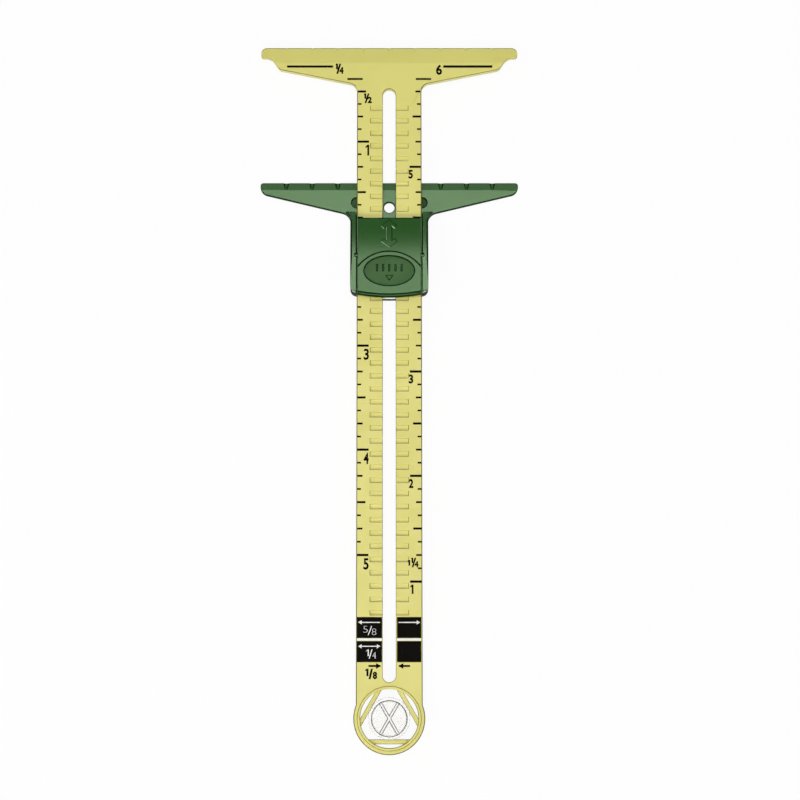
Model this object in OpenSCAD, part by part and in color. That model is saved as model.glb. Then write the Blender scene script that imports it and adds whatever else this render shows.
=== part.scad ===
// Sliding sewing gauge: a slotted bar with a T-shaped head, a T-shaped slider that runs
// along it, a rocking lock lever whose teeth drop into a rack, and a clear anchor button
// held in a ring at the far end.
// X runs across the gauge, Y along it with the head at +Y, and Z up through the printed
// face. The gauge lies on the back of its slider and the feet of its button, at z = 0.

/* [Bar] */
// Length of the bar, from the head's edge to the end of the ring
bar_length = 173; // [165:0.5:190]
// Thickness of the bar
bar_thickness = 2; // [1.6:0.1:3]
// Width of the shaft
shaft_width = 15.875; // [14:0.125:18]
// Width of the long slot
slot_width = 3.175; // [2.8:0.025:3.6]
// Distance from the head's edge to the slot
slot_start = 10.65; // [9:0.05:12]
// Height of the raised print-side rim around the ring
rim_height = 0.2; // [0.1:0.05:0.25]
// Width of that rim
rim_width = 0.7; // [0.5:0.1:1.2]

/* [Head] */
// Width of the two T edges, of the head and of the slider
tee_width = 63.5; // [56:0.5:76]
// Depth of the thin tab at each end of the head
tab_depth = 2.7; // [2.2:0.05:3.6]
// Distance from the head's end to the top of the step behind the tab
step_top_inset = 2.55; // [2:0.05:3]
// Distance from the head's end to the bottom of the step
step_bottom_inset = 4.6; // [4:0.1:6]
// Depth of the head at the bottom of the step
step_depth = 5.75; // [5:0.05:7]
// Depth of the head where its slope meets the shaft
root_depth = 9.6; // [9:0.1:11]
// Radius of the upper corners of the head
head_corner = 1.5; // [0.5:0.1:2]
// Radius of the lower corners of the tabs
tab_corner = 0.6; // [0.2:0.1:0.8]
// Radius of the hollow of the step
step_radius = 2.6; // [1.2:0.1:3]
// Radius of the shoulder below it
shoulder_radius = 1.5; // [0.8:0.1:2.4]
// Radius in the corner between head and shaft
root_radius = 2.2; // [0.8:0.1:2.6]
// Width of the sloping band along the head's edge
head_band = 4.25; // [2.5:0.1:5]
// How much thinner the bar is at the head's edge
head_band_drop = 0.9; // [0.4:0.1:1.1]

/* [Graduations] */
// Spacing of the notches along both T edges, a quarter inch
notch_pitch = 6.35; // [5:0.05:8]
// Length of a half-inch notch in the head
long_notch = 2.1; // [1.6:0.1:3]
// Length of a quarter-inch notch in the head
short_notch = 1.4; // [1:0.1:1.6]
// Length of a notch in the slider's edge
wing_notch = 2.2; // [1.4:0.1:2.6]
// Radius of a head notch's round floor
notch_radius = 0.5; // [0.3:0.05:0.8]
// Depth of a head notch at the edge
notch_depth = 0.2; // [0.1:0.05:0.3]
// Radius of a slider notch's round floor
wing_notch_radius = 1; // [0.5:0.05:1.2]
// Depth of a slider notch at the edge
wing_notch_depth = 0.3; // [0.1:0.05:0.4]

/* [Rack] */
// Spacing of the rack's grooves, an eighth of an inch
rack_pitch = 3.175; // [2.8:0.025:3.2]
// Number of grooves in each row
rack_count = 40; // [30:1:40]
// Distance from the head's edge to the far wall of the first groove
rack_start = 16.13; // [15:0.05:17.5]
// Width of a groove along the bar
groove_width = 1.1; // [0.8:0.05:1.2]
// Length of a groove, from the slot outward
groove_length = 3; // [2.4:0.1:4]
// Depth of a groove
groove_depth = 0.4; // [0.33:0.01:0.6]

/* [Ring and spring frame] */
// Outer diameter of the ring
ring_diameter = 17.1; // [16.5:0.1:19]
// Thickness of the ring's wall
ring_wall = 1.6; // [1.1:0.1:1.8]
// Width of the three thin bars that hold the button
frame_bar = 1.1; // [0.8:0.05:1.2]
// Thickness of those bars
frame_thickness = 1.2; // [0.8:0.1:1.4]

/* [Anchor button] */
// Diameter of the button's neck, between the bars
button_neck = 9.6; // [9.2:0.1:10]
// How far the snap lips stand out over the bars
button_lip = 0.15; // [0.1:0.05:0.3]
// Gap around the neck and above and below the bars
button_gap = 0.1; // [0.05:0.05:0.2]
// Diameter of the front disc
button_face = 8.7; // [8:0.1:9]
// Height of the front disc above the bar
button_proud = 0.7; // [0.3:0.1:1]
// Height of the feet under the button
foot_height = 0.3; // [0.1:0.05:0.5]
// Diameter of a foot
foot_diameter = 0.7; // [0.5:0.1:0.8]
// Number of feet
foot_count = 6; // [3:1:8]
// Radius of the front disc's edge
button_round = 0.3; // [0.1:0.05:0.4]
// Thickness of the front disc
button_cap = 1; // [0.7:0.1:1.3]
// Wall of the neck, round the hollow back
button_wall = 0.8; // [0.6:0.05:1]
// Thickness of the crossed ribs in the hollow back
cross_width = 0.85; // [0.5:0.05:1.1]
// Depth of the ribs below the button's back
cross_inset = 0.5; // [0.2:0.1:1]
// Angle of each rib to the line across the bar
cross_angle = 60; // [45:1:70]

/* [Slider] */
// Groove of the rack that the lock lever stands over
rest_groove = 9; // [0:1:29]
// Thickness of the slider's plate
plate_thickness = 1.3; // [1:0.1:2]
// Gap between plate and bar
slide_gap = 0.1; // [0.05:0.05:0.3]
// Gap between the shaft and each rail
side_gap = 0.08; // [0.05:0.01:0.3]
// Length of the slider, from the T edge
slider_length = 29.4; // [29.2:0.1:30.2]
// How far the slider's end bows out
slider_bow = 1.4; // [0.8:0.1:1.8]
// Depth of the wing tips
wing_tip_depth = 2.85; // [2.4:0.05:3.4]
// Depth of the wings where their slope meets the body
wing_root_depth = 8.2; // [7:0.1:9.2]
// Radius of the upper corners of the wings
wing_corner = 0.7; // [0.3:0.1:1]
// Radius of the lower corners of the wing tips
wing_tip_radius = 2.2; // [1:0.1:2.4]
// Radius in the corner between wing and body
wing_root_radius = 2.6; // [1.5:0.1:3]
// Radius of the lower corners of the body
body_corner = 1.5; // [0.6:0.1:2]
// Width of the sloping band along the T edge
wing_band = 1.85; // [1.2:0.1:2.4]
// How much thinner the plate is at the T edge
wing_band_drop = 0.6; // [0.2:0.1:0.7]
// Distance from the T edge to the marking hole
hole_depth = 6.3; // [5:0.1:7.8]
// Diameter of the marking hole
hole_diameter = 2.6; // [2:0.1:2.7]
// Distance from the T edge to the two round hollows beside the shaft
hollow_depth_along = 5.1; // [4.6:0.05:5.5]
// Radius of those hollows
hollow_radius = 1.25; // [0.8:0.05:1.4]
// Depth of those hollows
hollow_depth = 0.8; // [0.2:0.1:0.9]

/* [Rails] */
// Width of each side rail
rail_width = 1.5; // [1.5:0.1:2]
// Distance from the T edge to the rails
rail_start = 8; // [7.2:0.1:8.6]
// Distance from the ends of the rails to the end of the slider
rail_end_inset = 0.3; // [0.2:0.05:1]
// Height of the rails above the face of the bar
rail_rise = 2.2; // [2.1:0.05:2.6]
// Radius of the outer upper corners of the rails, seen from the front
rail_round = 0.5; // [0.2:0.05:0.6]
// Distance from the T edge to the crest, above which rails and lever arch down
crest_depth = 20; // [19:0.5:22]
// Radius of that arch
arch_radius = 62; // [55:1:120]
// Radius of the rounded rail ends
rail_end_round = 1.6; // [0.8:0.1:2]

/* [Lock lever] */
// Distance from the T edge to the lever
lever_start = 9.55; // [9.2:0.05:9.7]
// Length of the lever, to the middle of its bowed end
lever_length = 19.8; // [19.5:0.05:20.2]
// How far the lever's end bows out
lever_bow = 0.7; // [0.3:0.1:1.2]
// Thickness of the lever at its crest
lever_thickness = 1.45; // [1.35:0.05:1.8]
// Height of the lever above the face of the bar
lever_lift = 0.7; // [0.66:0.02:0.9]
// Gap between the lever and each rail
lever_gap = 0.35; // [0.3:0.05:0.7]
// Gap between each rail and the foot along the lever's side
skirt_gap = 0.1; // [0.05:0.05:0.2]
// Height of that foot
skirt_height = 0.4; // [0.3:0.05:0.5]
// Distance from the T edge to the pivot
pivot_depth = 19; // [18.5:0.1:19.5]
// Diameter of the pivot stubs
pivot_diameter = 1.3; // [1:0.05:1.4]
// Height of the pivot above the underside of the lever
pivot_height = 0.4; // [0.35:0.05:0.6]
// Gap around the pivot stubs
pivot_gap = 0.1; // [0.05:0.01:0.15]
// Length of the pivot stubs inside the rails
pivot_reach = 0.95; // [0.6:0.05:1.1]
// Radius of the lead-in notches over the pivots
lead_radius = 0.6; // [0.4:0.05:0.85]
// Distance from the T edge to the far wall of the groove that the teeth fit
tooth_depth = 10.86; // [10.6:0.02:11]
// Gap between a tooth and the walls of its groove
tooth_gap = 0.15; // [0.1:0.01:0.2]
// Gap under the teeth while the lever is level
tooth_clear = 0.05; // [0.02:0.01:0.1]
// Height of the push pad above the lever
pad_rise = 0.5; // [0.3:0.05:0.9]
// Distance from the lever's start to the top of the pad
pad_start = 8.4; // [7.9:0.05:9.3]
// Radius of the pad's upper outline
pad_radius = 9.9; // [9:0.1:12]
// Width of the slope along the end of the pad
pad_end_slope = 0.7; // [0.4:0.1:1.2]
// Length of the oval dish in the pad
dish_length = 12.1; // [10:0.1:13]
// Width of the oval dish
dish_width = 7.2; // [6:0.1:8]
// Distance from the lever's start to the middle of the dish
dish_depth_along = 13.45; // [13.2:0.05:14]
// Depth of the dish
dish_depth = 0.45; // [0.15:0.05:0.5]
// Height of the raised arrows and grip ribs
relief = 0.2; // [0.1:0.05:0.3]
// Distance from the lever's start to the double arrow
arrow_start = 0.5; // [0.4:0.1:0.9]
// Length of the double arrow
arrow_length = 7.2; // [6:0.1:7.3]
// Width of the arrow heads
arrow_width = 4.1; // [3:0.1:5]
// How far the arms of a head fall back from its tip
arrow_fall = 1.6; // [1:0.1:2]
// Thickness of the arms
arrow_arm = 1.1; // [0.6:0.1:1.3]
// Width of the arrow's stem
arrow_stem = 1.5; // [0.8:0.1:2]
// Number of grip ribs in the dish
rib_count = 5; // [3:2:5]
// Spacing of the ribs
rib_spacing = 1.5; // [1:0.1:1.8]
// Width of a rib
rib_width = 0.5; // [0.3:0.05:0.8]
// Length of a rib
rib_length = 1.9; // [1.2:0.1:2.4]
// Distance from the middle of the dish to the ribs
rib_offset = 0.8; // [0.5:0.1:1]
// Width of the small arrow in the dish
mark_width = 2.1; // [1.4:0.1:2.6]
// Length of the small arrow
mark_length = 1.5; // [1:0.1:1.6]
// Distance from the middle of the dish to the small arrow's tip
mark_tip = 2.5; // [2.3:0.1:2.7]

/* [Lever spring] */
// Width of the spring tongue, which lies in the slot
spring_width = 2.2; // [1.6:0.1:2.4]
// Thickness of the tongue
spring_thickness = 0.4; // [0.25:0.05:0.6]
// Distance from the pivot to the root of the tongue
spring_root = 1.2; // [0.9:0.1:2]
// Distance from the pivot to the foot of the tongue
spring_reach = 7.5; // [6.8:0.1:7.7]

/* [Hidden] */
$fn = 96;
corner_steps = 10;
bow_steps = 10;
dish_steps = 72;
over = 1;

yellow = [0.87, 0.83, 0.50];
green = [0.27, 0.46, 0.24];
clear = [0.82, 0.82, 0.92];

plate_top = plate_thickness;
bar_back = plate_top + slide_gap;
bar_front = bar_back + bar_thickness;
lever_under = bar_front + lever_lift;
lever_face = lever_under + lever_thickness;
pad_face = lever_face + pad_rise;
pivot_z = lever_under + pivot_height;
rail_top = bar_front + rail_rise;

half_shaft = shaft_width / 2;
ring_radius = ring_diameter / 2;
ring_bore = ring_radius - ring_wall;
ring_centre = bar_length - ring_radius;
slot_radius = slot_width / 2;
leg_start = slot_start + slot_radius;
leg_end = ring_centre - ring_radius - slot_radius;
leg_width = (shaft_width - slot_width) / 2;
frame_clear = button_neck / 2 + button_gap;
frame_back = bar_back + (bar_thickness - frame_thickness) / 2;
frame_front = frame_back + frame_thickness;

slider_edge = rack_start + rest_groove * rack_pitch - tooth_depth;
rail_inner = half_shaft + side_gap;
rail_outer = rail_inner + rail_width;
rail_end = slider_length - rail_end_inset;
half_lever = rail_inner - lever_gap;
lever_end = lever_start + lever_length;
bow_radius = (half_lever * half_lever + lever_bow * lever_bow) / (2 * lever_bow);
plate_bow_radius = (rail_outer * rail_outer + slider_bow * slider_bow) / (2 * slider_bow);

button_lip_radius = frame_clear + button_lip;
button_front = bar_front + button_proud;
hollow_back_radius = button_neck / 2 - button_wall;

// Unit vector along v
function unit(v) = v / norm(v);

// Points of the arc that rounds the corner at b, between a and c, with radius r
function corner_arc(a, b, c, r) =
    let (
        u = unit(a - b),
        v = unit(c - b),
        half = acos(u * v) / 2,
        centre = b + unit(u + v) * r / sin(half),
        from = b + u * r / tan(half) - centre,
        turn = (u.x * v.y - u.y * v.x > 0 ? -1 : 1) * (180 - 2 * half),
        begin = atan2(from.y, from.x)
    )
    [for (i = [0 : corner_steps])
        let (angle = begin + turn * i / corner_steps)
        centre + r * [cos(angle), sin(angle)]];

// Outline through points [x, y, radius], with every corner rounded by its radius
function rounded(points) =
    let (n = len(points))
    [for (i = [0 : n - 1])
        let (
            b = points[i],
            a = points[(i + n - 1) % n],
            c = points[(i + 1) % n]
        )
        each b[2] == 0
            ? [[b.x, b.y]]
            : corner_arc([a.x, a.y], [b.x, b.y], [c.x, c.y], b[2])];

// Right half of an outline, given downward, completed by its mirror image
function both_sides(half) =
    concat(half, [for (i = [len(half) - 1 : -1 : 0]) [-half[i].x, half[i].y, half[i][2]]]);

// Points of an ellipse with semi-axes a and b
function oval(a, b) = [for (i = [0 : dish_steps - 1])
    [a * cos(360 * i / dish_steps), b * sin(360 * i / dish_steps)]];

// Moves a shape from the head's edge at y = 0 to its place on the bar
module on_bar() translate([0, bar_length / 2, 0]) children();

// Moves a shape from the slider's T edge at y = 0 to its place along the bar
module on_slider() translate([0, bar_length / 2 - slider_edge, 0]) children();

module both_halves() {
    children();
    mirror([1, 0, 0]) children();
}

// Extrudes an outline drawn in the Y-Z plane across X, centred on the middle
module across(width) rotate([90, 0, 90]) translate([0, 0, -width / 2]) linear_extrude(width) children();

// Wedge that slopes the front face down towards the edge at y = 0
module band_cut(span, width, drop, face)
    across(span) polygon([
        [-width, face],
        [over, face - drop - over * drop / width],
        [over, face + over],
        [-width, face + over]
    ]);

// Groove with a round floor that is deepest at the edge and runs out on the band
module notch_cut(length, radius, depth, width, drop, face) {
    tilt = atan(drop / width + depth / length);
    translate([0, 0, face - drop - depth])
        rotate([90 - tilt, 0, 0])
            translate([0, radius, -over])
                cylinder(r = radius, h = length + 2 * over);
}

// Notches along the head's edge, long at the half inches counted from its end
module head_notches() {
    count = floor(tee_width / notch_pitch / 2 - 0.5);
    for (i = [-count : count])
        translate([i * notch_pitch, 0, 0])
            notch_cut(i % 2 == 0 ? short_notch : long_notch, notch_radius, notch_depth,
                head_band, head_band_drop, bar_front);
}

// T head, down to where the two legs of the shaft begin
module bar_head() color(yellow) on_bar() {
    half = [
        [tee_width / 2, 0, head_corner],
        [tee_width / 2, -tab_depth, tab_corner],
        [tee_width / 2 - step_top_inset, -tab_depth, step_radius],
        [tee_width / 2 - step_bottom_inset, -step_depth, shoulder_radius],
        [half_shaft, -root_depth, root_radius],
        [half_shaft, -leg_start, 0]
    ];
    difference() {
        translate([0, 0, bar_back])
            linear_extrude(bar_thickness)
                difference() {
                    polygon(rounded(both_sides(half)));
                    translate([0, -leg_start]) circle(slot_radius);
                }
        band_cut(tee_width + 2 * over, head_band, head_band_drop, bar_front);
        head_notches();
    }
}

// One leg of the shaft, beside the slot, with its row of grooves for the lock lever's tooth
module leg() color(yellow) on_bar()
    difference() {
        translate([slot_radius, -leg_end, bar_back])
            cube([leg_width, leg_end - leg_start, bar_thickness]);
        for (k = [0 : rack_count - 1])
            translate([slot_radius - over, -rack_start - k * rack_pitch, bar_front - groove_depth])
                cube([groove_length + over, groove_width, groove_depth + over]);
    }

module right_leg() leg();

module left_leg() mirror([1, 0, 0]) leg();

// Triangle whose sides lie at this distance from its middle, one of them at the bottom
module triangle(in_radius) rotate(90) circle(2 * in_radius, $fn = 3);

// Three thin bars across the ring, which flex to let the button snap in
module spring_frame()
    translate([0, 0, frame_back])
        linear_extrude(frame_thickness)
            intersection() {
                difference() {
                    triangle(frame_clear + frame_bar);
                    triangle(frame_clear);
                }
                circle(ring_bore + ring_wall / 2);
            }

// End of the shaft with its ring, the ring's raised rim and the spring frame
module ring_end() color(yellow) on_bar() translate([0, -ring_centre, 0]) {
    shoulder = ring_centre - leg_end;
    translate([0, 0, bar_back])
        linear_extrude(bar_thickness)
            difference() {
                union() {
                    circle(ring_radius);
                    translate([-half_shaft, 0]) square([shaft_width, shoulder]);
                }
                translate([0, shoulder]) circle(slot_radius);
                circle(ring_bore);
            }
    spring_frame();
    translate([0, 0, bar_front - ring_wall / 2])
        linear_extrude(ring_wall / 2 + rim_height)
            difference() {
                circle(ring_bore + rim_width);
                circle(ring_bore);
            }
}

// Half of the bow at the end of the slider's plate, from one side inward
function plate_bow() =
    [for (i = [0 : bow_steps - 1])
        let (x = (rail_outer - body_corner) * (1 - 2 * i / (2 * bow_steps - 1)))
        [x, plate_bow_radius - sqrt(plate_bow_radius * plate_bow_radius - x * x) - slider_length, 0]];

// Outline of the slider's plate, whose body ends in a bow
module slider_outline() {
    half = [
        [tee_width / 2, 0, wing_corner],
        [tee_width / 2, -wing_tip_depth, wing_tip_radius],
        [rail_outer, -wing_root_depth, wing_root_radius],
        [rail_outer, slider_bow - slider_length, body_corner],
        each plate_bow()
    ];
    polygon(rounded(both_sides(half)));
}

// Side view of the rails or the lever: level near the push end, arched down towards the T edge
module arched_side(start, end, top) {
    difference() {
        translate([-end, 0]) square([end - start, top]);
        translate([-crest_depth, top - arch_radius])
            difference() {
                square([crest_depth, arch_radius + over]);
                circle(arch_radius, $fn = 720);
            }
    }
}

// Cuts the round end of a rail, where it stops short of the slider's end
module rail_end_cut()
    translate([rail_outer, -rail_end, rail_top])
        across(4 * rail_width)
            difference() {
                translate([-over, -rail_end_round]) square(rail_end_round + over);
                translate([rail_end_round, -rail_end_round]) circle(rail_end_round);
                translate([rail_end_round, -rail_end_round]) square(2 * rail_end_round + over);
            }

// Socket for a stub of the lever, and the notch above it that leads the stub in
module pivot_socket()
    translate([rail_inner, -pivot_depth, pivot_z]) {
        translate([-over, 0, 0])
            rotate([0, 90, 0])
                cylinder(d = pivot_diameter + 2 * pivot_gap, h = over + pivot_reach + pivot_gap);
        cylinder(r = lead_radius, h = rail_rise + over);
    }

// Rail beside the shaft, which stands on the plate and follows its outline
module rail() color(green) on_slider()
    difference() {
        intersection() {
            translate([0, 0, plate_top])
                linear_extrude(rail_top - plate_top)
                    intersection() {
                        slider_outline();
                        polygon(rounded([
                            [rail_inner, -rail_start, rail_round],
                            [rail_outer + rail_width, -rail_start, rail_round],
                            [rail_outer + rail_width, -rail_end, 0],
                            [rail_inner, -rail_end, 0]
                        ]));
                    }
            across(2 * tee_width) arched_side(rail_start, rail_end, rail_top);
        }
        rail_end_cut();
        pivot_socket();
    }

module right_rail() rail();

module left_rail() mirror([1, 0, 0]) rail();

// Notches along the wings, at quarter inches from the middle of the slider
module wing_notches() {
    first = ceil((rail_outer + wing_notch_radius) / notch_pitch);
    last = floor((tee_width / 2 - wing_corner - wing_notch_radius) / notch_pitch);
    for (i = [first : last])
        both_halves()
            translate([i * notch_pitch, 0, 0])
                notch_cut(wing_notch, wing_notch_radius, wing_notch_depth,
                    wing_band, wing_band_drop, plate_top);
}

// Plate behind the bar, with its wings, its marking hole and a round hollow on each side of the shaft
module slider_plate() color(green) on_slider() {
    difference() {
        linear_extrude(plate_thickness) slider_outline();
        band_cut(tee_width + 2 * over, wing_band, wing_band_drop, plate_top);
        wing_notches();
        translate([0, -hole_depth, -over]) cylinder(d = hole_diameter, h = plate_thickness + 2 * over);
        both_halves() translate([rail_inner, -hollow_depth_along, plate_top - hollow_depth])
            cylinder(r = hollow_radius, h = hollow_depth + over);
    }
}

// Outline of the lever between two heights, with its bowed lower end
module lever_slab(from, to, start, half = half_lever)
    translate([0, 0, from])
        linear_extrude(to - from)
            intersection() {
                translate([-half, -lever_end]) square([2 * half, lever_end - start]);
                translate([0, bow_radius - lever_end]) circle(bow_radius);
            }

// Double arrow, for the way that the slider moves
module double_arrow() {
    arm = [arrow_width / 2, -arrow_fall];
    across_arm = arrow_arm * unit([arm.y, -arm.x]);
    end = arm + across_arm;
    joint = end - arm * (end.x - arrow_stem / 2) / arm.x;
    head = [[0, 0], arm, end, joint, [-joint.x, joint.y], [-end.x, end.y], [-arm.x, arm.y]];
    translate([-arrow_stem / 2, -arrow_length - joint.y - arrow_arm / 4])
        square([arrow_stem, arrow_length + 2 * joint.y + arrow_arm / 2]);
    polygon(head);
    translate([0, -arrow_length]) mirror([0, 1]) polygon(head);
}

// Short ribs on the floor of the dish, over a small arrow that points to the push end
module grip_marks() {
    for (i = [0 : rib_count - 1])
        translate([(i - (rib_count - 1) / 2) * rib_spacing - rib_width / 2, rib_offset - rib_length / 2])
            square([rib_width, rib_length]);
    translate([0, -mark_tip])
        polygon([[0, 0], [mark_width / 2, mark_length], [-mark_width / 2, mark_length]]);
}

// Raised pad at the push end, round above and sloping away at the lever's end
module push_pad()
    difference() {
        intersection() {
            lever_slab(lever_face - lever_thickness / 2, pad_face, lever_start + pad_start);
            translate([0, -lever_start - pad_start - pad_radius, 0]) cylinder(r = pad_radius, h = 2 * pad_face);
            translate([0, bow_radius - lever_end, 0])
                rotate_extrude($fn = 360)
                    polygon([
                        [0, 0],
                        [bow_radius, 0],
                        [bow_radius, lever_face],
                        [bow_radius - pad_end_slope, pad_face],
                        [0, pad_face]
                    ]);
        }
        translate([0, -lever_start - dish_depth_along, pad_face - dish_depth])
            linear_extrude(dish_depth + over)
                polygon(oval(dish_length / 2, dish_width / 2));
    }

module pivot_stub()
    translate([half_lever - over, -pivot_depth, pivot_z])
        rotate([0, 90, 0]) {
            reach = over + lever_gap + pivot_reach;
            tip = pivot_diameter / 4;
            cylinder(d = pivot_diameter, h = reach - tip);
            translate([0, 0, reach - tip]) cylinder(d1 = pivot_diameter, d2 = pivot_diameter - 2 * tip, h = tip);
        }

// Tooth that drops into one groove of the rack
module tooth()
    translate([slot_width / 2 + tooth_gap, -tooth_depth + tooth_gap, bar_front + tooth_clear])
        cube([groove_length - 2 * tooth_gap, groove_width - 2 * tooth_gap, lever_lift]);

module lock_lever() color(green) on_slider() {
    intersection() {
        lever_slab(lever_under, lever_face, lever_start);
        across(tee_width) arched_side(lever_start, lever_end, lever_face);
    }
    lever_slab(lever_under, lever_under + skirt_height, lever_start, rail_inner - skirt_gap);
    push_pad();
    both_halves() pivot_stub();
    both_halves() tooth();
    intersection() {
        translate([0, -lever_start - arrow_start, lever_under + tooth_clear])
            linear_extrude(lever_thickness + relief)
                double_arrow();
        across(tee_width) arched_side(lever_start, lever_end, lever_face + relief);
    }
    translate([0, -lever_start - dish_depth_along, pad_face - dish_depth - relief])
        linear_extrude(2 * relief)
            grip_marks();
}

// Leaf that springs from the lever's underside, down through the slot to the plate
module lever_spring() color(green) on_slider() {
    root_y = -pivot_depth - spring_root;
    foot_y = -pivot_depth - spring_reach;
    span = root_y - foot_y - 2 * spring_thickness;
    fall = lever_under - plate_top - spring_thickness;
    steps = 16;
    upper = [for (i = [0 : steps])
        [root_y - spring_thickness - span * i / steps,
            lever_under - fall * (1 - cos(180 * i / steps)) / 2]];
    lower = [for (i = [steps : -1 : 0]) [upper[i].x, upper[i].y - spring_thickness]];
    across(spring_width) {
        polygon(concat(upper, lower));
        translate([root_y - spring_thickness - over / 10, lever_under - spring_thickness])
            square([2 * spring_thickness, spring_thickness]);
    }
}

// Half section of the button: flange below the bars, neck between them, snap lip and front disc above
module button_section() {
    neck = button_neck / 2;
    lip = button_lip_radius;
    face = button_face / 2;
    shelf = frame_front + button_gap;
    polygon(rounded([
        [0, foot_height, 0],
        [lip - button_lip, foot_height, 0],
        [lip, foot_height + button_lip, 0],
        [lip, frame_back - button_gap, 0],
        [neck, frame_back - button_gap, 0],
        [neck, shelf, 0],
        [lip, shelf, 0],
        [lip - button_lip, shelf + button_lip, 0],
        [face, shelf + button_lip, 0],
        [face, button_front, button_round],
        [0, button_front, 0]
    ]));
}

// Clear button, hollow at the back, where two ribs cross
module anchor_button() color(clear) on_bar() translate([0, -ring_centre, 0]) {
    difference() {
        rotate_extrude() button_section();
        translate([0, 0, -over]) cylinder(r = hollow_back_radius, h = over + button_front - button_cap);
    }
    for (turn = [cross_angle, -cross_angle])
        rotate(turn)
            translate([-hollow_back_radius - button_wall / 2, -cross_width / 2, foot_height + cross_inset])
                cube([
                    2 * hollow_back_radius + button_wall,
                    cross_width,
                    button_front - button_cap / 2 - foot_height - cross_inset
                ]);
    for (i = [0 : foot_count - 1])
        rotate(360 * i / foot_count)
            translate([(hollow_back_radius + frame_clear) / 2, 0, 0])
                cylinder(d = foot_diameter, h = foot_height + button_lip);
}

bar_head();
left_leg();
right_leg();
ring_end();
slider_plate();
left_rail();
right_rail();
lock_lever();
lever_spring();
anchor_button();
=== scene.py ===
"""A sliding sewing gauge: slotted yellow bar with a T head, green T slider with its rocking lock lever,
and a clear anchor button in the ring at the far end, lying on a white table."""

from math import cos, hypot, pi, radians, sin, sqrt

import bmesh
import bpy
from mathutils import Matrix, Vector


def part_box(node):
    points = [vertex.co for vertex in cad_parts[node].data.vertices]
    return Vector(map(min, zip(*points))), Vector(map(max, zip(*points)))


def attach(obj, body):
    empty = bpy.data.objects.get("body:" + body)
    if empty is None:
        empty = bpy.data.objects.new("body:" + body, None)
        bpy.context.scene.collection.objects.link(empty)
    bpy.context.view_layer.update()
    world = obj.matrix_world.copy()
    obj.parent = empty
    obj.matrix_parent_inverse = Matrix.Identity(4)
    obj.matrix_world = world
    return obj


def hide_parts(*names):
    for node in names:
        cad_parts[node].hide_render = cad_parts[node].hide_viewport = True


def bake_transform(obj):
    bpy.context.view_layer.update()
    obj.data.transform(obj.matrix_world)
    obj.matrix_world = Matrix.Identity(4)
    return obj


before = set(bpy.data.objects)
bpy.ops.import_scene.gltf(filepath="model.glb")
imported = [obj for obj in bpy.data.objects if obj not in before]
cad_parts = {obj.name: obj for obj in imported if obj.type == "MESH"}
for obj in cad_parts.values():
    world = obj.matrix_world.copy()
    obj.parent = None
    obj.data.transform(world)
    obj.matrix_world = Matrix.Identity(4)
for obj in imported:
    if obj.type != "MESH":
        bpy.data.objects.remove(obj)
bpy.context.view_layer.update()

# Lengths below are millimetres, and MM turns them into the frame's metres.
# Corners closer than MERGE are one corner, and a place is on an edge when it is within MERGE of it
MM = 0.001
INCH = 25.4
MERGE = 0.002

# Faces of the frame that the pieces and the print are set out from
leg_low, leg_high = (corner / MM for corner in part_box("right_leg"))
SLOT_HALF = leg_low.x
SHAFT_HALF = leg_high.x
BAR_FRONT = leg_high.z
HEAD_END_Y = leg_high.y
RING_END_Y = leg_low.y
HEAD_EDGE_Y = (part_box("bar_head")[1] / MM).y
# How far the head reaches down from its edge, short of the slot
HEAD_DEEP = 10
plate_low, plate_high = (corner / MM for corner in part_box("slider_plate"))
lever_low, lever_high = (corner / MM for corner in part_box("lock_lever"))

# Widths of the rounding along the moulded edges
BAR_ROUND = 0.22
INNER_ROUND = 0.11
SLIDER_ROUND = 0.2
RAIL_ROUND = 0.45
NOSE_ROUND = 0.75
LEVER_ROUND = 0.28
PAD_ROUND = 0.42
RELIEF_ROUND = 0.2
FINE_ROUND = 0.06
RIB_ROUND = 0.26
FACE_EDGE_ROUND = 0.42
BUTTON_ROUND = 0.05
# Edges of the rails' round ends, which are shorter than this, stay as they are
TIGHT = 0.25
# Radius of the button's front disc
FACE_RADIUS = 4.4
# Creases from which an edge is rounded or kept crisp, and up to which two faces are one flat
SHARP_ANGLE = radians(25)
FLAT_ANGLE = radians(0.3)
# Faces that lean more than this are rims and walls, which are painted dark as the shade along the rounded edges
RIM_LEAN = cos(radians(21.5))
# The slider's sloping edge band leans less than this, and keeps the skin of its plate
BAND_LEAN = cos(radians(28))
# How far the T heads' edge bands and the rails' noses reach from the ends of their pieces
END_DEEP = 2.5

# Arch in which the lever and the rails fall away towards the T edge: its radius, where it begins,
# counted from the lever's end, and how far the curve's own shading reaches
ARCH_RADIUS = 62
ARCH_FROM_END = 9.35
ARCH_TOLERANCE = cos(radians(5))

# Faces that count as large and level, and the least crease between two such faces that stays crisp
LARGE_FACE = 1
LEVEL = 0.9
CREASE_ANGLE = radians(10)

# Oval dish of the push pad: its middle, and its half axes
DISH_Y = lever_low.y + 6.35
DISH_HALF = (6.2, 3.75)
PAD_RISE = 0.5
# How far up the slope at the pad's end faces
PAD_END_LEAN = (0.77, 0.86)
ARROW_HALF = 2.2
# Side from which light falls on the arrow's edges, where they are painted pale as a highlight
HIGHLIGHT_SIDE = Vector((-0.6, -0.8, 0))

# Places of the finishes in a piece's list of materials, and in the button's
# RIM: rims painted dark as shade; MATT: matt finish that also stands in for shade in recesses; BRIGHT: painted
# highlight
MAIN, RIM, MATT, BRIGHT = range(4)
# DISC_EDGE: the button disc's rim, painted dark as shade
FLANGE, DISC_EDGE = 1, 2

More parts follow.
